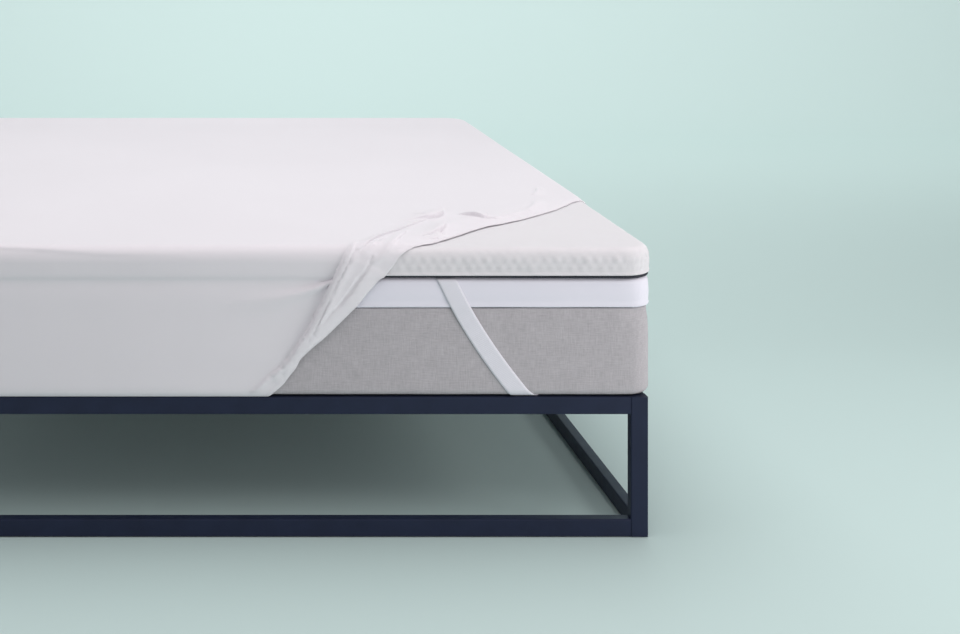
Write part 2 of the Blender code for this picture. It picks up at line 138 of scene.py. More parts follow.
# Materials. Patterns on cloth read the flat cloth's own UV map, in metres; metal reads Object coordinates.
class Finish:
    def __init__(self, name, color, roughness):
        self.material = bpy.data.materials.new(name)
        self.material.use_nodes = True
        self.tree = self.material.node_tree
        self.shader = self.tree.nodes["Principled BSDF"]
        self.shader.inputs["Base Color"].default_value = (*color, 1)
        self.shader.inputs["Roughness"].default_value = roughness

    def node(self, kind, **settings):
        made = self.tree.nodes.new(kind)
        for key, value in settings.items():
            if hasattr(made, key):
                setattr(made, key, value)
            else:
                made.inputs[key.replace("_", " ")].default_value = value
        return made

    def link(self, a, b):
        self.tree.links.new(a, b)

    def set(self, **values):
        for key, value in values.items():
            self.shader.inputs[key.replace("_", " ")].default_value = value

    def coordinates(self, kind, scale=(1, 1, 1)):
        source = self.node("ShaderNodeTexCoord")
        mapping = self.node("ShaderNodeMapping", Scale=scale)
        self.link(source.outputs[kind], mapping.inputs["Vector"])
        return mapping.outputs["Vector"]

    def noise(self, vector, scale, detail, roughness=0.5):
        made = self.node("ShaderNodeTexNoise", Scale=scale, Detail=detail, Roughness=roughness)
        self.link(vector, made.inputs["Vector"])
        return made.outputs["Fac"]

    def waves(self, vector, direction, scale, wobble):
        made = self.node("ShaderNodeTexWave", Scale=scale, Distortion=wobble, Detail=1.0)
        made.bands_direction = direction
        self.link(vector, made.inputs["Vector"])
        return made.outputs["Fac"]

    def math(self, operation, a, b):
        made = self.node("ShaderNodeMath", operation=operation)
        for value, socket in ((a, made.inputs[0]), (b, made.inputs[1])):
            if isinstance(value, (int, float)):
                socket.default_value = value
            else:
                self.link(value, socket)
        return made.outputs["Value"]

    def ramp(self, value, stops):
        made = self.node("ShaderNodeValToRGB")
        while len(made.color_ramp.elements) < len(stops):
            made.color_ramp.elements.new(0.5)
        for element, (place, color) in zip(made.color_ramp.elements, stops):
            element.position = place
            element.color = (*color, 1)
        self.link(value, made.inputs["Fac"])
        return made.outputs["Color"]

    def bump(self, height, distance, strength):
        made = self.node("ShaderNodeBump", Distance=distance, Strength=strength)
        self.link(height, made.inputs["Height"])
        if self.shader.inputs["Normal"].is_linked:
            self.link(self.shader.inputs["Normal"].links[0].from_socket, made.inputs["Normal"])
        self.link(made.outputs["Normal"], self.shader.inputs["Normal"])

    def paint(self, value, stops):
        self.link(self.ramp(value, stops), self.shader.inputs["Base Color"])

    def tint(self, value, color, low, high=1.0, stops=(0.3, 0.7)):
        # one color at two shades, for low and high values
        self.paint(value, ((stops[0], shade(color, low)), (stops[1], shade(color, high))))


def shade(color, share):
    return tuple(c * share for c in color)


def floorPaint():
    finish = Finish("studioPaint", studio["floorColor"], studio["floorRoughness"])
    soft = finish.noise(finish.coordinates("Object"), studio["cloudScale"], 1.0)
    finish.tint(soft, studio["floorColor"], studio["cloudShade"])
    return finish.material


# Bumps are given as (distance, strength), with the scale of their noise before them where it has one.
knit = dict(
    sheenRoughness=0.5,
    specular=0.25,
    waleScale=2,
    waleWobble=1.2,
    courseScale=2.6,
    courseWobble=1.6,
    loops=(0.00025, 0.6),
    pilling=(60, 0.0006, 0.35),
    slack=(5, 0.006, 0.25),
    cloudScale=1.6,
    cloudShade=0.975,
)


def knitCloth(name, color, roughness, stitch, sheen):
    # fine jersey: columns of small loops, each a stitch wide in metres, with a little soft pilling
    finish = Finish(name, color, roughness)
    finish.set(Sheen_Weight=sheen, Sheen_Roughness=knit["sheenRoughness"])
    finish.set(Specular_IOR_Level=knit["specular"])
    flat = finish.coordinates("UV")
    wales = finish.waves(flat, "X", 1 / stitch / math.tau * knit["waleScale"], knit["waleWobble"])
    courses = finish.waves(flat, "Y", 1 / stitch / math.tau * knit["courseScale"], knit["courseWobble"])
    finish.bump(finish.math("MULTIPLY", wales, courses), *knit["loops"])
    for scale, detail in ((knit["pilling"], 3.0), (knit["slack"], 2.0)):
        finish.bump(finish.noise(flat, scale[0], detail), *scale[1:])
    finish.tint(finish.noise(flat, knit["cloudScale"], 3.0), color, knit["cloudShade"])
    return finish.material


slub = dict(
    roughness=0.95,
    sheen=0.1,
    specular=0.2,
    dark=(0.38, (0.410, 0.391, 0.411)),
    mid=(0.50, (0.470, 0.448, 0.470)),
    light=(0.64, (0.533, 0.511, 0.533)),
    acrossScale=(48, 400, 1),
    uprightScale=(400, 40, 1),
    threadRoughness=0.6,
    blotchScale=(26, 30, 1),
    blotchShare=0.18,
    relief=(0.0012, 0.7),
)


def slubCloth():
    # grey upholstery cloth: uneven threads both ways, some thick and some pale
    s = slub
    finish = Finish("greySlubCloth", s["mid"][1], s["roughness"])
    finish.set(Sheen_Weight=s["sheen"], Specular_IOR_Level=s["specular"])
    across = finish.noise(finish.coordinates("UV", s["acrossScale"]), 1.0, 3.0, s["threadRoughness"])
    upright = finish.noise(finish.coordinates("UV", s["uprightScale"]), 1.0, 3.0, s["threadRoughness"])
    threads = finish.math("MAXIMUM", across, upright)
    sunk = finish.math("MINIMUM", across, upright)
    weave = finish.math("MULTIPLY", finish.math("ADD", threads, sunk), 0.5)
    blotch = finish.noise(finish.coordinates("UV", s["blotchScale"]), 1.0, 3.0)
    woven = finish.math("MULTIPLY", weave, 1 - s["blotchShare"])
    mixed = finish.math("ADD", woven, finish.math("MULTIPLY", blotch, s["blotchShare"]))
    finish.paint(mixed, (s["dark"], s["mid"], s["light"]))
    finish.bump(weave, *s["relief"])
    return finish.material


elastic = dict(
    color=(0.815, 0.808, 0.876),
    roughness=0.75,
    sheen=0.1,
    ribs=(130.0, 0.3),
    picks=(160.0, 0.4),
    ribRelief=(0.0004, 0.6),
    pickRelief=(0.0002, 0.5),
    # how much darker the rib grooves are painted: painted shade in the grooves
    ribGroovePaintedShade=0.94,
)


def elasticTape():
    e = elastic
    finish = Finish("strapElastic", e["color"], e["roughness"])
    finish.set(Sheen_Weight=e["sheen"])
    ribs = finish.waves(finish.coordinates("UV"), "X", *e["ribs"])
    picks = finish.waves(finish.coordinates("UV"), "Y", *e["picks"])
    finish.bump(ribs, *e["ribRelief"])
    finish.bump(picks, *e["pickRelief"])
    # the rib grooves are painted a little darker than the rib tops: painted shade that follows the rib bumps
    finish.tint(ribs, e["color"], e["ribGroovePaintedShade"], stops=(0.0, 1.0))
    return finish.material


gripPaint = dict(
    color=(0.016, 0.018, 0.030),
    roughness=0.7,
    dotScale=160.0,
    dotShade=1.6,
    dotStops=(0.25, 0.35),
    relief=(0.0005, 0.5),
)


def gripCloth():
    g = gripPaint
    finish = Finish("gripCloth", g["color"], g["roughness"])
    dots = finish.node("ShaderNodeTexVoronoi", Scale=g["dotScale"], Randomness=0.0)
    finish.link(finish.coordinates("UV"), dots.inputs["Vector"])
    finish.tint(dots.outputs["Distance"], g["color"], g["dotShade"], stops=g["dotStops"])
    finish.bump(dots.outputs["Distance"], *g["relief"])
    return finish.material


powder = dict(
    color=(0.0120, 0.0185, 0.046),
    roughness=0.45,
    specular=0.25,
    grain=(900, 0.0002, 0.5),
    wornScale=14,
    wornRoughness=0.6,
    wornShades=(0.85, 1.12),
    wornStops=(0.3, 0.75),
    glossScale=40,
    glossRange=(0.40, 0.55),
)


def powderCoat():
    c = powder
    finish = Finish("navyPowderCoat", c["color"], c["roughness"])
    finish.set(Specular_IOR_Level=c["specular"])
    place = finish.coordinates("Object")
    finish.bump(finish.noise(place, c["grain"][0], 2.0), *c["grain"][1:])
    worn = finish.noise(place, c["wornScale"], 4.0, c["wornRoughness"])
    finish.tint(worn, c["color"], *c["wornShades"], stops=c["wornStops"])
    rough = finish.node("ShaderNodeMapRange", To_Min=c["glossRange"][0], To_Max=c["glossRange"][1])
    finish.link(finish.noise(place, c["glossScale"], 2.0), rough.inputs["Value"])
    finish.link(rough.outputs["Result"], finish.shader.inputs["Roughness"])
    return finish.material


rubber = dict(color=(0.018, 0.018, 0.020), roughness=0.8, grain=(500, 0.0003, 0.5), shades=(0.8, 1.2))


def padRubber():
    finish = Finish("padRubber", rubber["color"], rubber["roughness"])
    grain = finish.noise(finish.coordinates("Object"), rubber["grain"][0], 2.0)
    finish.bump(grain, *rubber["grain"][1:])
    finish.tint(grain, rubber["color"], *rubber["shades"])
    return finish.material


# Sections run outwards and down from the flat top, as (out from the core, height).
def arc(middle, radiusOut, radiusUp, start, end, steps):
    turns = [math.radians(start + (end - start) * k / steps) for k in range(steps + 1)]
    return [(middle[0] + radiusOut * math.cos(a), middle[1] + radiusUp * math.sin(a)) for a in turns]


def runMarks(section):
    marks = [0.0]
    for (a, b), (c, d) in zip(section, section[1:]):
        marks.append(marks[-1] + math.hypot(c - a, d - b))
    return marks


def walk(section, distance):
    # the point at a distance along a section, with a normal that turns smoothly from point to point
    for k, ((a, b), (c, d)) in enumerate(zip(section, section[1:])):
        step = math.hypot(c - a, d - b)
        if distance <= step or k == len(section) - 2:
            share = distance / step
            before, after = pointNormal(section, k), pointNormal(section, k + 1)
            normalOut = before[0] + (after[0] - before[0]) * share
            normalUp = before[1] + (after[1] - before[1]) * share
            size = math.hypot(normalOut, normalUp)
            return a + (c - a) * share, b + (d - b) * share, normalOut / size, normalUp / size
        distance -= step


def pointNormal(section, k):
    first, last = section[max(0, k - 1)], section[min(len(section) - 1, k + 1)]
    step = math.hypot(last[0] - first[0], last[1] - first[1])
    return -(last[1] - first[1]) / step, (last[0] - first[0]) / step


def smoothed(rows, steps):
    # a soft curve through the table's points
    points = []
    for k in range(len(rows) - 1):
        before = rows[max(0, k - 1)]
        after = rows[min(len(rows) - 1, k + 2)]
        for j in range(steps):
            t = j / steps
            point = []
            for p0, p1, p2, p3 in zip(before, rows[k], rows[k + 1], after):
                point.append(
                    0.5 * (2 * p1 + (p2 - p0) * t + (2 * p0 - 5 * p1 + 4 * p2 - p3) * t**2
                           + (3 * p1 - p0 - 3 * p2 + p3) * t**3)
                )
            points.append(tuple(point))
    points.append(tuple(rows[-1]))
    return points


def reading(rows, key):
    if key <= rows[0][0]:
        return rows[0][1]
    for (a, low), (b, high) in zip(rows, rows[1:]):
        if key <= b:
            t = (key - a) / (b - a)
            return low + (high - low) * t * t * (3 - 2 * t)
    return rows[-1][1]


def gridStops(core, marks, cell):
    count = max(1, round(2 * core / cell))
    inner = [-core + 2 * core * k / count for k in range(1, count)]
    outer = [core + m for m in marks]
    return [-o for o in reversed(outer)] + inner + outer


def unevenness(x, y, seed):
    return noise.noise(Vector((x, y, seed)))


def flatGrid(stopsX, stopsY):
    # a flat grid with its lines at the stops
    mesh = bmesh.new()
    bmesh.ops.create_grid(mesh, x_segments=len(stopsX) - 1, y_segments=len(stopsY) - 1, size=1.0)
    for v in mesh.verts:
        column = round((v.co.x + 1) / 2 * (len(stopsX) - 1))
        row = round((v.co.y + 1) / 2 * (len(stopsY) - 1))
        v.co = Vector((stopsX[column], stopsY[row], 0.0))
    return mesh


def keepFlat(mesh):
    # the flat place of each point, kept as UV for the patterns
    layer = mesh.loops.layers.uv.new("flat")
    for face in mesh.faces:
        for loop in face.loops:
            loop[layer].uv = (loop.vert.co.x, loop.vert.co.y)


def layOver(x, y, form, lift):
    # puts a point of a flat sheet on a rounded block: top, edge, side and, past that, underneath
    coreX, coreY = form["halfX"] - form["corner"], form["halfY"] - form["corner"]
    overX, overY = max(0.0, abs(x) - coreX), max(0.0, abs(y) - coreY)
    signX, signY = math.copysign(1.0, x), math.copysign(1.0, y)
    beyond = max(overX, overY)
    if beyond == 0.0:
        return Vector((x, y, form["top"] + lift))
    out, height, normalOut, normalUp = walk(form["section"], beyond)
    if "bridge" in form and form["bridge"][1] <= height <= form["bridge"][0]:
        # a fold stands straight out from the side, across the gap under the topper
        normalOut, normalUp = 1.0, 0.0
        out += (form["corner"] - out) * min(1.0, lift / form["bridgeLift"])
    if overX and overY:
        share = min(overX, overY) / beyond
        turn = math.pi / 4 * share if overX >= overY else math.pi / 2 - math.pi / 4 * share
        heading = (signX * math.cos(turn), signY * math.sin(turn))
        start = (signX * coreX, signY * coreY)
        if "cornerReach" in form:
            out *= form["cornerReach"](turn, height)
        if "gather" in form:
            lift += form["gather"](turn, height) * max(0.0, normalOut)
    elif overX:
        heading, start = (signX, 0.0), (signX * coreX, y)
    else:
        heading, start = (0.0, signY), (x, signY * coreY)
    reach = out + normalOut * lift
    return Vector((start[0] + heading[0] * reach, start[1] + heading[1] * reach, height + normalUp * lift))


def swellingSide(side, high, low, swell):
    # points down a side that swells a little between its two rounds
    return [(side + swell * math.sin(math.pi * k / 6), high + (low - high) * k / 6) for k in range(1, 6)]


def closeBelow(mesh):
    rim = [e for e in mesh.edges if e.is_boundary]
    bmesh.ops.holes_fill(mesh, edges=rim, sides=0)
    bmesh.ops.recalc_face_normals(mesh, faces=mesh.faces)


def blockGrid(form, marks, cell):
    coreX, coreY = form["halfX"] - form["corner"], form["halfY"] - form["corner"]
    return flatGrid(gridStops(coreX, marks, cell), gridStops(coreY, marks, cell))


# Mattress: white quilted cap above the seam and grey cloth below it.
mattress = dict(
    halfX=0.900,
    halfY=1.000,
    corner=0.055,
    bottom=0.3025,
    seam=0.4905,
    top=0.5550,
    topRound=0.014,
    bottomRound=0.014,
    swell=0.0012,
    capAboveSeam=0.0012,
    capLipStart=0.010,
    capLip=((0.0004, 0.0075), (0.0012, 0.005)),
    capLipRound=0.003,
    capLipUnder=0.010,
    baseBelowSeam=0.0008,
    seamDip=0.0022,
    seamRound=0.002,
    seamInset=0.001,
    seamDepth=0.006,
    seamBend=6,
    baseUnder=0.010,
    cell=0.030,
    capKnit=dict(name="capKnit", color=(0.840, 0.830, 0.915), roughness=0.9, stitch=0.0016, sheen=0.15),
    capUneven=(0.0005, 9, 0.3),
    baseUneven=(0.0004, 12, 4.1),
)


def mattressPart(section, marks, uneven):
    # a closed block with the section all round, a little uneven
    m = mattress
    form = dict(halfX=m["halfX"], halfY=m["halfY"], corner=m["corner"], top=section[0][1], section=section)
    mesh = blockGrid(form, marks, m["cell"])
    keepFlat(mesh)
    height, scale, seed = uneven
    for v in mesh.verts:
        lift = height * unevenness(v.co.x * scale, v.co.y * scale, seed)
        v.co = layOver(v.co.x, v.co.y, form, lift)
    closeBelow(mesh)
    return mesh


def makeMattress():
    m = mattress
    side = m["corner"]
    upper = (side - m["topRound"], m["top"] - m["topRound"])
    capLow = m["seam"] + m["capAboveSeam"]
    capSection = [(0.0, m["top"])] + arc(upper, m["topRound"], m["topRound"], 90, 0, 8)
    capSection += swellingSide(side, upper[1], capLow + m["capLipStart"], m["swell"])
    capSection += [(side + out, capLow + rise) for out, rise in m["capLip"]]
    lipOut, lipRound = side + m["capLip"][-1][0], m["capLipRound"]
    capSection += arc((lipOut - lipRound, capLow + lipRound), lipRound, lipRound, 0, -90, 4)
    capSection.append((lipOut - m["capLipUnder"], capLow))
    marks = runMarks(capSection)
    marks.insert(1, marks[1] / 2)
    mesh = mattressPart(capSection, marks, m["capUneven"])
    capPiece = finishPiece("mattressCap", mesh, knitCloth(**m["capKnit"]))
    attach(capPiece, "root")
    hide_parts("mattress_cap")

    # the grey part hangs from the seam: its sheet starts inside the seam and runs down and under
    top = m["seam"] - m["baseBelowSeam"]
    seamRound, seamOut = m["seamRound"], side - m["seamDip"] - m["seamInset"]
    baseSection = [(0.0, top), (seamOut - seamRound, top)]
    baseSection += arc((seamOut, top - seamRound), seamRound, seamRound, 90, 0, 3)
    low, sideTop = m["bottom"] + m["bottomRound"], m["seam"] - m["seamDepth"]
    for k in range(1, 9):
        out = side - m["seamDip"] * (1 - k / 8) ** m["seamBend"]
        baseSection.append((out, sideTop + (low - sideTop) * k / 8))
    baseSection += arc((side - m["bottomRound"], low), m["bottomRound"], m["bottomRound"], 0, -90, 7)[1:]
    baseSection.append((m["baseUnder"], m["bottom"]))
    mesh = mattressPart(baseSection, runMarks(baseSection), m["baseUneven"])
    basePiece = finishPiece("mattressBase", mesh, slubCloth())
    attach(basePiece, "root")
    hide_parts("mattress_base")


# Topper: foam pad in a bubble knit, on a dark sheet that grips the mattress.
topper = dict(
    halfX=0.905,
    halfY=1.005,
    corner=0.072,
    top=0.6185,
    low=0.5605,
    topRound=0.022,
    swell=0.0008,
    bead=((0.0085, 0.0), (0.0066, 0.0002), (0.0052, 0.0009), (0.0040, 0.0012)),
    beadGap=0.004,
    lipRound=0.0025,
    lipInset=0.0013,
    under=0.015,
    bubbleWide=0.0215,
    bubbleHigh=0.0182,
    bubbleSize=0.0078,
    bubbleSizeSpread=0.25,
    bubbleShift=(0.0025, 0.0020),
    bubbleFullness=(0.75, 0.5),
    bubbleMiddle=0.45,
    bubbleRise=0.0031,
    bubbleRiseOnTop=0.0002,
    bubbleTopFade=0.020,
    bubbleStart=0.002,
    clothUneven=(0.0008, 30, 1.7),
    knit=dict(name="bubbleKnit", color=(0.768, 0.753, 0.778), roughness=0.92, stitch=0.0014, sheen=0.1),
    shownX=(0.27, 0.85),
    shownY=(-0.95, -0.12),
    fineCell=0.0042,
    coarseCell=0.090,
    bareX=0.300,
    bareY=-0.450,
    gripInset=0.0035,
    gripDroop=0.0030,
    gripLoose=0.0020,
    gripHigh=0.5602,
    gripLow=0.5567,
    gripGap=0.0004,
    gripCell=0.04,
    gripInnerMarks=(0.0, 0.02, 0.04),
    gripEdgeMarks=(0.012, 0.008, 0.004, 0.0),
    gripEdge=0.012,
    gripFade=(0.55, 0.5),
    gripLeast=0.15,
    gripUneven=(0.5, 12, 2),
    gripAwayFrom=(0.70, -0.80),
)


def unevenStops(core, marks, cell, shown, fineCell):
    stops = [s for s in gridStops(core, marks, cell) if not shown[0] <= s <= shown[1] or abs(s) >= core]
    count = round((shown[1] - shown[0]) / fineCell)
    stops += [shown[0] + (shown[1] - shown[0]) * k / count for k in range(count + 1)]
    return sorted(set(round(s, 6) for s in stops))


def bubbles(x, y):
    # staggered rows of soft bubbles, none quite the same
    t = topper
    wide, high = t["bubbleWide"], t["bubbleHigh"]
    row = round(y / high)
    total = 0.0
    for r in (row - 1, row, row + 1):
        shift = wide / 2 if r % 2 else 0.0
        column = round((x - shift) / wide)
        for c in (column - 1, column, column + 1):
            middleX, middleY = c * wide + shift, r * high
            size = t["bubbleSize"] * (1 + t["bubbleSizeSpread"] * unevenness(c * 1.7, r * 2.3, 0.5))
            middleX += t["bubbleShift"][0] * unevenness(c * 3.1, r * 1.3, 8.0)
            middleY += t["bubbleShift"][1] * unevenness(c * 2.9, r * 1.9, 3.0)
            full = t["bubbleFullness"][0] + t["bubbleFullness"][1] * unevenness(c * 4.3, r * 3.7, 6.0)
            total += full * math.exp(-((x - middleX) ** 2 + (y - middleY) ** 2) / size**2)
    return min(1.0, total)


def makeTopper():
    t = topper
    side = t["corner"]
    section = [(0.0, t["top"])]
    upper = (side - t["topRound"], t["top"] - t["topRound"])
    lowest = t["low"] + t["bead"][0][0] + t["beadGap"]
    section += arc(upper, t["topRound"], t["topRound"], 90, 0, 9)
    section += swellingSide(side, upper[1], lowest, t["swell"])
    section += [(side + out, t["low"] + rise) for rise, out in t["bead"]]
    lip = (side - t["lipInset"], t["low"] + t["lipRound"])
    section += arc(lip, t["lipRound"], t["lipRound"], 0, -90, 4)
    section.append((t["under"], t["low"]))
    form = dict(halfX=t["halfX"], halfY=t["halfY"], corner=t["corner"], top=t["top"], section=section)
    marks = runMarks(section)
    marks[1:1] = [marks[1] * k / 6 for k in range(1, 6)]
    coreX, coreY = t["halfX"] - side, t["halfY"] - side
    mesh = flatGrid(
        unevenStops(coreX, marks, t["coarseCell"], (t["shownX"][0], coreX), t["fineCell"]),
        unevenStops(coreY, marks, t["coarseCell"], (-coreY, t["shownY"][1]), t["fineCell"]),
    )
    keepFlat(mesh)
    small, scale, seed = t["clothUneven"]
    for v in mesh.verts:
        x, y = v.co.x, v.co.y
        over = max(abs(x) - coreX, abs(y) - coreY, 0.0)
        height = walk(section, over)[1] if over else t["top"]
        shown = x > t["shownX"][0] and y < t["shownY"][1]
        rise = 0.0
        if shown and height > t["low"] + t["bubbleStart"]:
            down = min(1.0, max(0.0, (t["top"] - height) / t["bubbleTopFade"]))
            rise = t["bubbleRiseOnTop"] + (t["bubbleRise"] - t["bubbleRiseOnTop"]) * down
            rise *= bubbles(x, y) - t["bubbleMiddle"]
            rise += small * unevenness(x * scale, y * scale, seed)
        v.co = layOver(x, y, form, rise)
    closeBelow(mesh)
    pad = finishPiece("topperPad", mesh, knitCloth(**t["knit"]))
    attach(pad, "root")
    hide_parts("topper_pad")


def makeGripSheet():
    # the dark sheet below the topper: bare at the open corner, its edge droops over the mattress's own edge
    t = topper
    inset, edgeWide = t["gripInset"], t["gripEdge"]
    corner = t["corner"] - inset
    half = (t["halfX"] - inset, t["halfY"] - inset)
    middle = (t["gripHigh"] + t["gripLow"]) / 2
    section = [(0.0, middle), (corner, middle)]
    form = dict(halfX=half[0], halfY=half[1], corner=corner, top=middle, section=section)
    marks = [*t["gripInnerMarks"], *(corner - m for m in t["gripEdgeMarks"])]
    mesh = blockGrid(form, marks, t["gripCell"])
    keepFlat(mesh)
    spread, scale, seed = t["gripUneven"]
    for v in mesh.verts:
        x, y = v.co.x, v.co.y
        v.co = layOver(x, y, form, 0.0)
        edge = max(x - half[0], -half[1] - y)
        if x > t["bareX"] and y < t["bareY"] and edge > -edgeWide:
            share = 1 + edge / edgeWide
            near = min(1.0, (x - t["bareX"]) / t["gripFade"][0])
            near *= min(1.0, (t["bareY"] - y) / t["gripFade"][1])
            droop = t["gripLeast"] + (1 - t["gripLeast"]) * near**2
            uneven = 1 + spread * unevenness(x * scale, y * scale, seed)
            v.co.z -= t["gripDroop"] * share**2 * uneven * droop
            away = Vector((v.co.x - t["gripAwayFrom"][0], v.co.y - t["gripAwayFrom"][1], 0))
            v.co += away.normalized() * t["gripLoose"] * share
    grip = finishPiece("topperGripSheet", mesh, gripCloth(), sharpDegrees=60)
    solid = grip.modifiers.new("thickness", "SOLIDIFY")
    solid.thickness = t["gripHigh"] - t["gripLow"] - t["gripGap"]
    solid.offset = 0.0
    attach(grip, "root")
    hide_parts("topper_grip_sheet")


# Elastic strap: from under the topper's near edge, down and under the mattress corner, up the right side.
strap = dict(
    width=0.038,
    thickness=0.0011,
    topX=0.448,
    edgeX=0.613,
    bow=0.050,
    rows=110,
    columns=8,
    under=0.0019,
    side=0.0020,
    start=(
        (-0.0120, 0.0010), (-0.0050, 0.0016), (0.0006, 0.0050), (0.0026, 0.0120), (0.0032, 0.0300),
        (0.0034, 0.0580), (0.0026, 0.0750), (0.0020, 0.1100),
    ),
    bendSteps=12,
    turnOver=0.060,
    squareRows=8,
    underReach=0.6,
    lineSteps=40,
)


def makeStrap():
    s, m = strap, mattress
    middle = (-m["bottomRound"], m["bottom"] + m["bottomRound"])
    start = smoothed(s["start"], 4)
    section = [(out, m["top"] - drop) for out, drop in start]
    outward, downward = m["bottomRound"] + s["side"], m["bottomRound"] + s["under"]
    section += arc(middle, outward, downward, 0, -90, s["bendSteps"])
    section.append((-s["underReach"], middle[1] - downward))
    edgeRun = runMarks(section)[len(start) + s["bendSteps"] // 2]
    underRun = (m["halfX"] - s["edgeX"] + walk(section, edgeRun)[0]) / 2
    drawn = s["edgeX"] - s["topX"]
    shares = [k / s["lineSteps"] for k in range(s["lineSteps"] + 1)]
    line = [(edgeRun * share, drawn * share - s["bow"] * share * (1 - share)) for share in shares]
    halfLength = runMarks(line)[-1] + underRun * math.sqrt(2)
    mesh = bmesh.new()
    bmesh.ops.create_grid(mesh, x_segments=s["columns"], y_segments=2 * s["rows"], size=1.0)
    layer = mesh.loops.layers.uv.new("flat")
    for face in mesh.faces:
        for loop in face.loops:
            loop[layer].uv = (loop.vert.co.x * s["width"] / 2, loop.vert.co.y * halfLength)
    for v in mesh.verts:
        row = round((v.co.y + 1) * s["rows"])
        nearRow = min(row, 2 * s["rows"] - row)
        run = (edgeRun + underRun) * nearRow / s["rows"]
        share = min(1.0, run / edgeRun)
        slope = (drawn - s["bow"] * (1 - 2 * share)) / edgeRun
        x = s["topX"] + drawn * share - s["bow"] * share * (1 - share) + max(0.0, run - edgeRun)
        bend = min(1.0, max(0.0, (run - edgeRun + s["turnOver"]) / s["turnOver"]))
        turn = math.atan(slope) * (1 - bend) + math.pi / 4 * bend
        lateral = v.co.x * s["width"] / 2
        slant = min(1.0, nearRow / s["squareRows"])
        x += lateral * (math.cos(turn) * slant + (1 - slant) / math.cos(turn))
        out, height, _, _ = walk(section, max(0.0, run - lateral * math.sin(turn) * slant))
        y = -m["halfY"] - out
        if row > s["rows"]:
            shift = m["halfX"] - m["halfY"]
            x, y = shift - y, shift - x
        v.co = Vector((x, y, height))
    bmesh.ops.recalc_face_normals(mesh, faces=mesh.faces)
    mesh.faces.ensure_lookup_table()
    lowest = min(mesh.faces, key=lambda f: f.calc_center_median().z)
    if lowest.normal.z > 0:
        bmesh.ops.reverse_faces(mesh, faces=mesh.faces)
    piece = finishPiece("cornerStrap", mesh, elasticTape(), sharpDegrees=60)
    solid = piece.modifiers.new("thickness", "SOLIDIFY")
    solid.thickness = s["thickness"]
    solid.offset = -1.0
    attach(piece, "root")
    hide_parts("corner_strap")


# Protector: one knitted sheet over the topper and mattress, off at the right foot corner.
# Its folds lie along lines given in millimetres by (across, along, height, width on the left, width on
# the right): along is the distance in from the near edge or, where negative, down the near side. Lines
# run upwards or inwards, so left and right are as the camera sees them.
protector = dict(
    halfX=0.9085,
    acrossFrom=0.150,
    halfY=1.0085,
    corner=0.075,
    top=0.6220,
    edgeRound=0.027,
    bottom=0.3006,
    bottomRound=0.0135,
    tuck=0.040,
    thickness=0.0014,
    knit=dict(name="protectorJersey", color=(0.822, 0.797, 0.836), roughness=0.88, stitch=0.0013, sheen=0.15),
    waist=(  # height, and how far the side is drawn in there
        (0.5950, 0.0000), (0.5850, 0.0004), (0.5720, 0.0012), (0.5620, 0.0022), (0.5580, 0.0036),
        (0.5540, 0.0062), (0.5500, 0.0078), (0.5450, 0.0080), (0.5380, 0.0073), (0.5300, 0.0062),
        (0.5200, 0.0050), (0.5080, 0.0043), (0.4900, 0.0040), (0.4200, 0.0040), (0.3650, 0.0040),
        (0.3141, 0.0040),
    ),
    bridgeLift=0.008,
    lowCorner=0.0585,
    lowCornerFrom=(0.585, 0.545),
    hemLine=0.515,
    hemReach=0.110,
    hemWander=(  # in millimetres: along, and how far the hem strays inwards
        (-340, 8), (-305, 10), (-288, 8), (-261, 14), (-237, 25.6), (-215, 23), (-192, 19.6),
        (-162, 19.6), (-126, 19.7), (-91, 25.7), (-71, 28.6), (-62, 24), (-46, 27.1), (-27, 34),
        (-10, 29.5), (1, 25.3), (16, 16), (40, 5.5), (64, 2.4), (108, 7), (151, 13.5), (195, 15),
        (243, 0.3), (290, -8.5), (340, -9.7), (392, -7.9), (433, 2.4), (480, 17), (540, 8), (640, -10),
        (740, -16), (830, -6),
    ),
    arcSteps=9,
    markGap=0.0040,
    coarseCell=0.030,
    fineSteps=((0.26, 0.020), (0.20, 0.011), (0.14, 0.0075)),
    splitOver=1.35,
    foldPasses=6,
    foldBend=0.00012,
    foldCell=0.0015,
    foldReach=2.6,
    hemPress=0.0020,
    hemPressReach=0.022,
    hemPressDepth=0.010,
    lapBack=0.015,
    turnedFade=0.120,
    sightSlope=4.4,
    lowFade=(0.3025, 0.318),
    gatherHeight=0.0032,
    gatherWaves=11,
    gatherFrom=0.500,
    gatherSway=(0.6, 0.4, 5, 1.0),
    slack=(0.0005, 4, 4, 2.0),
    sideSlack=(0.0007, 7, 11, 5.0),
)

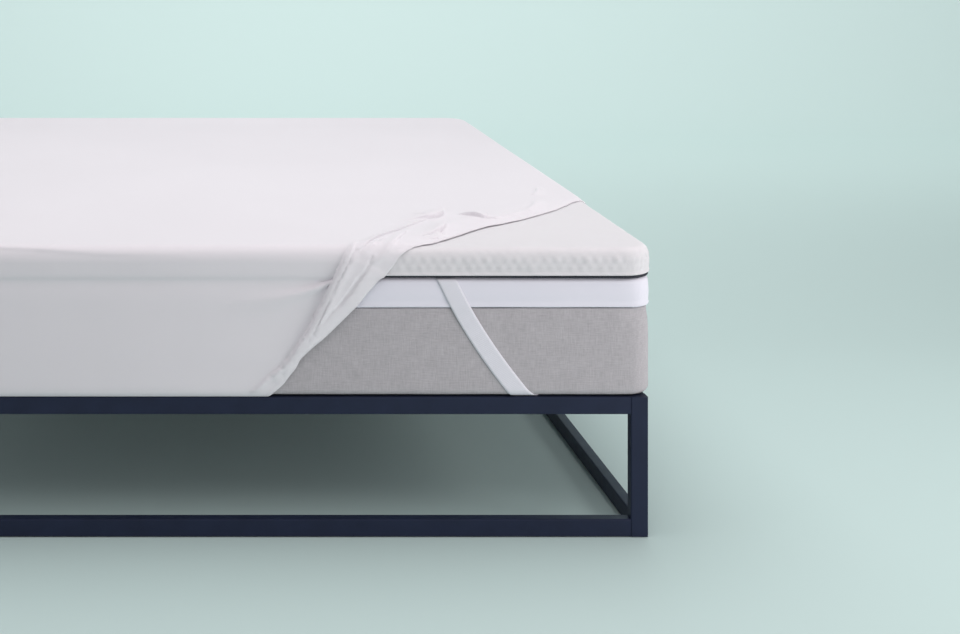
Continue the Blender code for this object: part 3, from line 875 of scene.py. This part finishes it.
folds = dict(
    bandEdge=(  # the gathered band stands off the side and laps over at its left edge
        (-110, -311, 2.4, 6, 6), (-87.1, -289.3, 3.6, 5.5, 7), (-74.7, -276.9, 4.4, 4.5, 8),
        (-47, -255.8, 5.8, 3.4, 12), (-27, -230, 7.4, 2.6, 18), (-3.7, -194, 8.6, 2.6, 30),
        (14.2, -164, 9.2, 2.6, 44), (31, -131, 9.8, 2.8, 58), (48, -96, 10, 3, 75),
        (63.5, -64, 9.6, 3.2, 85), (73, -44, 8.8, 3.4, 90), (85, -22, 6.6, 4, 95), (96, 2, 4, 5, 90),
        (120, 40, 1.5, 10, 80),
    ),
    firstRidge=(
        (-10, -220, 0.3, 4, 4), (10, -188, 1.2, 4, 4), (36, -140, 1.6, 5, 5), (56, -98, 1.6, 6, 6),
        (74, -60, 1.6, 7, 6), (90, -27, 1, 7, 6),
    ),
    firstLap=(
        (-10, -233, 0.4, 1.8, 4), (5.3, -206.3, 1.8, 1.7, 5), (23.2, -176.4, 2.8, 1.6, 7),
        (41.2, -140.5, 3.4, 1.6, 9), (56.1, -107.6, 3.6, 1.6, 10), (71.1, -74.7, 3.8, 1.6, 10),
        (86, -44.8, 3.6, 1.6, 10), (100.1, -20.9, 2.4, 1.8, 10), (108, -8, 0.4, 2.5, 10),
    ),
    middleCrease=(
        (40, -162, -0.8, 2, 3), (60, -136, -2.2, 2.2, 4), (84, -103, -2.6, 2.2, 4),
        (108, -68, -2.2, 2.2, 4), (118, -52, -0.6, 2.2, 4),
    ),
    secondRidge=(
        (15, -188, 0.6, 6, 3.5), (33, -159, 1.4, 7, 4), (72, -113, 1.8, 8, 4.5), (103, -73, 2, 9, 5),
        (124, -41, 1.8, 10, 5), (136, -18, 0.6, 10, 5),
    ),
    secondLap=(
        (-4, -232, 0.4, 1.8, 5), (8.3, -215.2, 1.4, 1.8, 6), (23.2, -188.3, 2, 1.8, 8),
        (38.2, -167.4, 2.4, 1.8, 10), (56.1, -143.5, 2.7, 1.8, 12), (80, -116.6, 2.9, 1.8, 14),
        (101, -92.6, 3, 1.8, 16), (115.9, -68.7, 3, 1.8, 18), (132.4, -44.8, 2.8, 2, 18),
        (144.3, -20.9, 2, 2.2, 16), (151, -8, 0.5, 3, 12),
    ),
    tailCrease=(
        (-93.7, -306.5, -0.6, 2.4, 3.4), (-74, -293, -1.6, 2.4, 3.4), (-54.7, -277.8, -1.8, 2.4, 3.4),
        (-45, -266, -1, 2.4, 3.4), (-40, -258, -0.1, 2.4, 3.4),
    ),
    tailRidge=(
        (-64, -304, 0.4, 6, 6), (-48, -288, 1.4, 6, 6), (-33, -270, 1, 5, 5), (-24, -256, 0.1, 5, 5),
    ),
    drawnRidge=(  # the side is drawn towards the band at the gap under the topper
        (-150, -118, 0.8, 12, 20), (-70, -110, 2.2, 10, 18), (-24.6, -101.6, 3.6, 8, 14),
        (5.3, -93.5, 4.4, 6, 11), (29.2, -85.5, 5, 5, 9), (54, -74, 4.6, 4, 6),
    ),
    drawnCrease=(
        (-138.3, -61, -0.6, 4, 8), (-18.6, -64, -1, 4, 8), (17.2, -68, -2.2, 3, 8),
        (41.2, -71.5, -4, 3, 6), (57, -68, -5, 3, 4),
    ),
    hemSwell=(  # slack cloth inside the hem on the top
        (130, 0, 1.5, 40, 30), (200, 56.5, 3, 60, 40), (300, 156.5, 4.5, 70, 45), (400, 256.5, 5, 70, 45),
        (500, 356.5, 4.5, 60, 40), (600, 456.5, 2.5, 50, 35), (670, 526.5, 0.5, 50, 35),
    ),
    hemRoll=(  # the hem itself is a little thicker
        (250, 22, 0.4, 6, 8), (346, 110, 0.4, 6, 8), (431.1, 203, 0.5, 6, 8), (540.1, 288, 0.4, 6, 8),
        (639.8, 388, 0.3, 6, 8),
    ),
    upperWedge=(  # each of these drops steeply towards the camera, which makes the dark wedges
        (235.4, 250, 0.5, 30, 3), (272.2, 276, 4, 45, 3), (309.1, 300, 8, 55, 3.2),
        (333.2, 325, 11, 60, 3.4), (350, 352, 10.5, 55, 3.4), (364, 378, 1, 40, 4),
    ),
    upperWedgeRidge=(
        (240, 236, 1, 4, 14), (280, 262, 2, 4, 18), (320, 290, 2.8, 4, 20), (350, 325, 2.6, 5, 22),
        (372, 365, 0.6, 8, 22),
    ),
    shoulderLong=(
        (115.9, 0, 2.4, 6, 2), (136.9, 45, 4.6, 8, 2), (161.7, 92, 5.2, 10, 2), (192.6, 133, 5, 12, 2),
        (223.2, 168, 4.8, 14, 2), (255.7, 212, 4.2, 15, 2.2), (292.5, 256, 3.4, 16, 2.4),
        (330.3, 302, 0.6, 16, 4),
    ),
    shoulderSecond=(
        (123.2, -14, 1.4, 4, 2), (150.3, 32, 3.2, 5, 2), (178.3, 78, 2.6, 6, 2.2), (195, 105, 0.4, 6, 3),
    ),
    innerShoulder=(
        (89, -25, 1.4, 4, 2), (102.6, 13, 3, 5, 2), (114.9, 39, 0.5, 6, 2.5),
    ),
    lowerShoulder=(
        (148.9, -31, 1.2, 6, 2.2), (170.7, 6, 4.4, 9, 2.2), (195.7, 52, 5, 12, 2.2),
        (224.8, 119, 4, 14, 2.4), (253.6, 161, 0.8, 14, 4),
    ),
    pinchUpper=(
        (269.1, 104, 2.6, 18, 2.8), (290.9, 140, 6.8, 22, 3), (313.2, 176, 9.2, 25, 3.2),
        (330, 208, 9.2, 26, 3.2), (342, 232, 1, 22, 4),
    ),
    pinchLower=(
        (270, 74, 0.8, 10, 2.8), (287.1, 92, 4, 12, 3), (301, 114, 5.8, 12, 3), (308.5, 140, 4.6, 10, 3),
        (315, 155, 0.6, 8, 2.6),
    ),
    pinchLap=(  # the lap's edge to the right of both pinches
        (296.3, 60, 1, 2.2, 10), (310, 100, 2.4, 2.2, 14), (326, 150, 3, 2.2, 16), (342, 200, 2.6, 3, 18),
        (360, 240, 0.4, 6, 18),
    ),
    leafTop=(  # the leaf-shaped hollow lies below this edge, and a crease runs on from it
        (386, 312, 0.6, 20, 3), (400, 328, 6.2, 28, 3), (420.8, 334, 11.6, 34, 3.4),
        (433, 312, 10.6, 30, 3.2), (444, 292, 7, 20, 2.8), (457.4, 288, 5.6, 18, 2.4),
        (476.6, 293, 5.2, 20, 2.4), (504.3, 318, 5, 22, 2.4), (530.3, 336, 4.6, 20, 4),
        (563.3, 379, 4.6, 8, 8), (589.8, 425, 5.6, 6, 14), (606, 460, 4.8, 6, 16), (615, 487, 0.6, 6, 16),
    ),
    leafLower=(
        (385, 250, 0.6, 6, 12), (420, 264, 2.2, 8, 12), (460, 258, 1.8, 8, 12), (500, 285, 1.6, 8, 12),
        (550, 335, 1.4, 9, 12), (605, 405, 1, 10, 12),
    ),
    farPinch=(
        (626, 560, 0.4, 2.6, 12), (640, 595, 5, 2.6, 14), (656, 635, 4.6, 2.6, 14),
        (668, 668, 0.4, 2.6, 12),
    ),
    hemPucker=(
        (652.3, 414, 0.3, 8, 3), (684, 460, 1.4, 8, 2), (710, 494, 0.6, 8, 2),
    ),
    faintDraw=(
        (-91.3, -12, 0.6, 18, 10), (-10, 90, 1, 22, 12), (61.7, 180, 0.4, 22, 14),
    ),
    nearEdgeRoll=(
        (-1000, 12, 1, 10, 6), (-730, 10, 2.6, 10, 5), (-560, 2, 3, 11, 5), (-440, -8, 1.8, 12, 5),
        (-250, -12, 0.6, 12, 8),
    ),
)
# How far some folds are pushed over to their left, or to their right where negative, so that they lap,
# in millimetres.
laps = dict(
    bandEdge=2.4,
    firstLap=3,
    secondLap=3.4,
    upperWedge=-3,
    shoulderLong=-2.8,
    shoulderSecond=-1.6,
    lowerShoulder=-2.6,
    pinchUpper=-2.6,
    pinchLower=-2.2,
    pinchLap=1.6,
    leafTop=-3,
)
turnedFolds = (
    "bandEdge", "firstRidge", "firstLap", "secondRidge", "secondLap", "tailCrease", "tailRidge", "drawnRidge",
)
# These tables follow crests as the camera sees them, and a raised crest is seen farther back than it is.
seenCrests = (
    "upperWedge", "shoulderLong", "shoulderSecond", "innerShoulder", "lowerShoulder", "pinchUpper",
    "pinchLower", "leafTop", "farPinch",
)


def clothSection(steps):
    p = protector
    flat = p["corner"] - p["edgeRound"]
    side = [(p["corner"] - inset, height) for height, inset in smoothed(p["waist"], 3)]
    lowMiddle = (side[-1][0] - p["bottomRound"], p["bottom"] + p["bottomRound"])
    section = [(0.0, p["top"])]
    section += arc((flat, p["top"] - p["edgeRound"]), p["edgeRound"], p["edgeRound"], 90, 0, steps)
    section += side[1:-1]
    section += arc(lowMiddle, p["bottomRound"], p["bottomRound"], 0, -90, steps)
    section.append((lowMiddle[0] - p["tuck"], p["bottom"]))
    return section


def clothCornerReach(turn, height):
    p = protector
    side = p["corner"] - p["waist"][-1][1]
    shift = side - p["lowCorner"]
    both = math.cos(turn) + math.sin(turn)
    reach = side / max(math.cos(turn), math.sin(turn))
    if reach * min(math.cos(turn), math.sin(turn)) > shift:
        reach = shift * both + math.sqrt((shift * both) ** 2 - 2 * shift**2 + p["lowCorner"] ** 2)
    start, end = p["lowCornerFrom"]
    share = min(1.0, max(0.0, (start - height) / (start - end)))
    return 1.0 + share * (reach / side - 1.0)


def clothGather(turn, height):
    p = protector
    share = min(1.0, max(0.0, (p["gatherFrom"] - height) / (p["gatherFrom"] - p["bottom"])))
    mean, sway, waves, start = p["gatherSway"]
    uneven = mean + sway * math.sin(waves * turn + start)
    return p["gatherHeight"] * share * uneven * math.sin(p["gatherWaves"] * 2 * turn) ** 2


def flatAlong(along):
    p = protector
    quarter = math.pi * p["edgeRound"] / 2
    if along >= p["edgeRound"]:
        return along - p["halfY"]
    if along > -p["edgeRound"]:
        share = (p["edgeRound"] - along) / (2 * p["edgeRound"])
        return p["edgeRound"] - quarter * share - p["halfY"]
    return 2 * p["edgeRound"] - quarter + along - p["halfY"]


def metres(millimetres):
    return round(millimetres / 1000, 7)


def foldLines():
    # each line as its rows on the flat cloth, with how far its fold laps over
    p = protector
    lines = []
    for name, rows in folds.items():
        lap = metres(laps.get(name, 0.0))
        rows = [tuple(map(metres, row)) for row in rows]
        if name in seenCrests:
            rows = [
                (x, along - p["sightSlope"] * high * (along > 0), high, *widths)
                for x, along, high, *widths in rows
            ]
        flat = [(p["acrossFrom"] + x, flatAlong(along), *rest) for x, along, *rest in rows]
        lines.append(lappedLine(flat, lap))
        if name in turnedFolds:
            # the same fold on the right side of the bed, where it starts below the top edge
            turned = []
            for (x, y, high, left, right), row in zip(flat, rows):
                high *= min(1.0, max(0.0, -row[1] / p["turnedFade"]))
                turned.append((p["halfX"] - p["halfY"] - y, p["halfX"] - x - p["halfY"], high, right, left))
            lines.append(lappedLine(turned, -lap))
    return lines


def lappedLine(rows, lap):
    # the table gives the edge that shows, so a lapping fold starts from farther back
    points = np.array(smoothed(rows, 5))
    if lap:
        step = np.gradient(points[:, :2], axis=0)
        leftward = np.stack((-step[:, 1], step[:, 0]), axis=1) / np.hypot(step[:, 0], step[:, 1])[:, None]
        full = np.abs(points[:, 2]) / np.abs(points[:, 2]).max()
        points[:, :2] -= leftward * (lap * full)[:, None]
    return points, lap


def foldLift(points, lines):
    # how far the cloth is lifted, and pushed aside, by the nearest place on each fold line
    back = protector["lapBack"]
    total = np.zeros(len(points))
    aside = np.zeros((len(points), 2))
    for rows, lap in lines:
        reach = protector["foldReach"] * max(rows[:, 3:].max(), back if lap else 0.0)
        least, most = rows[:, :2].min(axis=0) - reach, rows[:, :2].max(axis=0) + reach
        near = np.all((points > least) & (points < most), axis=1)
        spot = points[near]
        if not len(spot):
            continue
        start, step = rows[:-1, :2], np.diff(rows[:, :2], axis=0)
        away = spot[:, None, :] - start[None]
        share = np.clip((away * step).sum(axis=2) / (step**2).sum(axis=1), 0.0, 1.0)
        off = away - share[..., None] * step
        distance = np.hypot(off[..., 0], off[..., 1])
        best = distance.argmin(axis=1)
        every = np.arange(len(spot))
        off, share, distance = off[every, best], share[every, best], distance[every, best]
        step = step[best]
        high, left, right = (rows[best, k] + (rows[best + 1, k] - rows[best, k]) * share for k in (2, 3, 4))
        onLeft = step[:, 0] * off[:, 1] - step[:, 1] * off[:, 0] > 0
        total[near] += high * np.exp(-((distance / np.where(onLeft, left, right)) ** 2))
        if lap:
            steep = np.where(onLeft, left, back) if lap > 0 else np.where(onLeft, back, right)
            closeness = np.exp(-((distance / steep) ** 2))
            push = lap * high / rows[:, 2].max() * closeness / np.hypot(step[:, 0], step[:, 1])
            aside[near] += np.stack((-step[:, 1] * push, step[:, 0] * push), axis=1)
    return np.maximum(total, 0.0), aside


def flatPlaces(mesh):
    return np.array([v.co.xy for v in mesh.verts])


def refineCloth(mesh, hemPoint, hemNormal, lines):
    # smaller cells towards the hem, then wherever a fold bends the cloth within a cell
    p = protector
    for reach, cell in p["fineSteps"]:
        split = []
        for e in mesh.edges:
            middle = (e.verts[0].co + e.verts[1].co) / 2
            if -(middle - hemPoint).dot(hemNormal) < reach and e.calc_length() > cell * p["splitOver"]:
                split.append(e)
        bmesh.ops.subdivide_edges(mesh, edges=split, cuts=1, use_grid_fill=True)
    for _ in range(p["foldPasses"]):
        mesh.verts.index_update()
        places = flatPlaces(mesh)
        lifts = foldLift(places, lines)[0]
        edges = [e for e in mesh.edges if e.calc_length() > p["foldCell"] * p["splitOver"]]
        ends = np.array([[e.verts[0].index, e.verts[1].index] for e in edges])
        between = (places[ends[:, 0]] + places[ends[:, 1]]) / 2
        bend = np.abs(foldLift(between, lines)[0] - lifts[ends].mean(axis=1))
        split = [e for e, b in zip(edges, bend) if b > p["foldBend"]]
        bmesh.ops.subdivide_edges(mesh, edges=split, cuts=1, use_grid_fill=True)
    bmesh.ops.triangulate(mesh, faces=[f for f in mesh.faces if len(f.verts) > 4])


def makeProtector():
    p = protector
    section = clothSection(p["arcSteps"])
    marks = runMarks(section)
    marks[1:1] = [marks[1] * k / 3 for k in range(1, 3)]
    kept = [marks[0]]
    for mark in marks[1:]:
        if mark - kept[-1] > p["markGap"]:
            kept.append(mark)
    kept[-1] = marks[-1]
    mesh = blockGrid(p, kept, p["coarseCell"])
    hemPoint = Vector((p["halfX"] - p["hemLine"], -p["halfY"], 0))
    hemNormal = Vector((1, -1, 0)).normalized()
    everything = mesh.verts[:] + mesh.edges[:] + mesh.faces[:]
    bmesh.ops.bisect_plane(mesh, geom=everything, plane_co=hemPoint, plane_no=hemNormal, clear_outer=True)
    lines = foldLines()
    refineCloth(mesh, hemPoint, hemNormal, lines)
    keepFlat(mesh)
    wanders = [tuple(map(metres, row)) for row in p["hemWander"]]
    fromHem = [-(v.co - hemPoint).dot(hemNormal) for v in mesh.verts]
    for v, inward in zip(mesh.verts, fromHem):
        wander = -reading(wanders, p["halfY"] + v.co.y) / math.sqrt(2)
        v.co += hemNormal * wander * max(0.0, 1.0 - inward / p["hemReach"])
    form = dict(
        halfX=p["halfX"],
        halfY=p["halfY"],
        corner=p["corner"],
        top=p["top"],
        section=section,
        cornerReach=clothCornerReach,
        gather=clothGather,
        bridge=(p["waist"][0][0], p["waist"][-1][0]),
        bridgeLift=p["bridgeLift"],
    )
    coreY, coreX = p["halfY"] - p["corner"], p["halfX"] - p["corner"]
    low, high = p["lowFade"]
    lifts, pushes = foldLift(flatPlaces(mesh), lines)
    small, scaleX, scaleY, seed = p["slack"]
    smallSide, sideScaleX, sideScaleY, sideSeed = p["sideSlack"]
    for v, inward, lift, push in zip(mesh.verts, fromHem, lifts, pushes):
        pressed = math.exp(-((inward / p["hemPressReach"]) ** 2))
        x, y = v.co.x + push[0], v.co.y + push[1]
        over = max(abs(x) - coreX, abs(y) - coreY, 0.0)
        height = walk(section, over)[1] if over else p["top"]
        fade = min(1.0, max(0.0, (height - low) / (high - low)))
        slack = small * (1 + unevenness(x * scaleX, y * scaleY, seed))
        if over and height < p["top"] - p["edgeRound"]:
            slack += smallSide * (1 + unevenness(x * sideScaleX, y * sideScaleY, sideSeed))
        if height > p["top"] - p["hemPressDepth"]:
            slack -= (slack + p["hemPress"]) * pressed
        v.co = layOver(x, y, form, (lift + slack) * fade)
    bmesh.ops.recalc_face_normals(mesh, faces=mesh.faces)
    largest = max(mesh.faces, key=lambda f: f.calc_area())
    if largest.normal.z < 0:
        bmesh.ops.reverse_faces(mesh, faces=mesh.faces)
    print("protector:", len(mesh.faces), "faces on its outside")
    piece = finishPiece("protectorCloth", mesh, knitCloth(**p["knit"]), sharpDegrees=75)
    solid = piece.modifiers.new("thickness", "SOLIDIFY")
    solid.thickness = p["thickness"]
    solid.offset = -1.0
    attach(piece, "root")
    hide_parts("protector")


def paintFrame():
    coat, soft = powderCoat(), padRubber()
    for name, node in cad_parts.items():
        if name.startswith(("leg_", "rail_", "cross_bar_")):
            node.data.materials.clear()
            node.data.materials.append(coat)
        elif name.startswith("pad_"):
            node.data.materials.clear()
            node.data.materials.append(soft)


makeCamera()
makeStudio()
print("camera, floor and lamps are in place")
paintFrame()
makeMattress()
print("mattress made")
makeTopper()
makeGripSheet()
makeStrap()
print("topper and strap made")
makeProtector()
